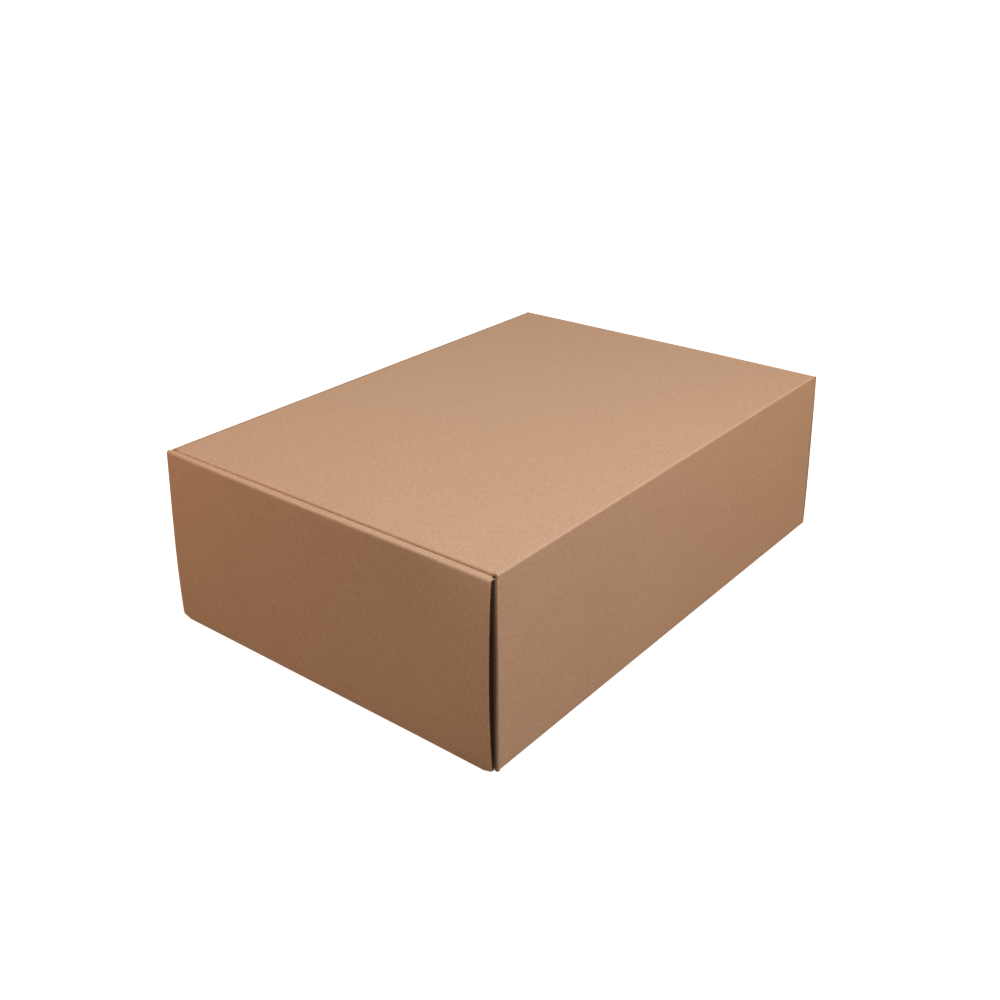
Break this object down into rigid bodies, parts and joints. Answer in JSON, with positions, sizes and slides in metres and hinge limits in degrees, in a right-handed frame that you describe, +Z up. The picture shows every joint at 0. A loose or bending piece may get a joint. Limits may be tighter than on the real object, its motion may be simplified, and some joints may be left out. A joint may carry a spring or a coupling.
{
  "type": "cardboard mailer box",
  "caption": "Closed corrugated cardboard mailer box with rolled end walls and a hinged lid whose side and front flaps tuck inside the walls.",
  "frame": {"origin": "middle of the underside", "axes": "+Z up, +X along the length towards one rolled end wall, +Y across the width towards the rear wall that carries the lid"},
  "size_m": [0.381, 0.2676, 0.122],
  "materials": {
    "kraft_board": "matte brown kraft paper over fine-flute corrugated board"
  },
  "bodies": {
    "tray": {"tray": "kraft_board"},
    "lid": {"lid": "kraft_board"}
  },
  "joints": [
    {"name": "lid_hinge", "type": "hinge", "parent": "tray", "child": "lid", "pos_m": [0, 0.13295, 0.1212], "axis": [-1, 0, 0], "range_deg": [0, 180]}
  ]
}
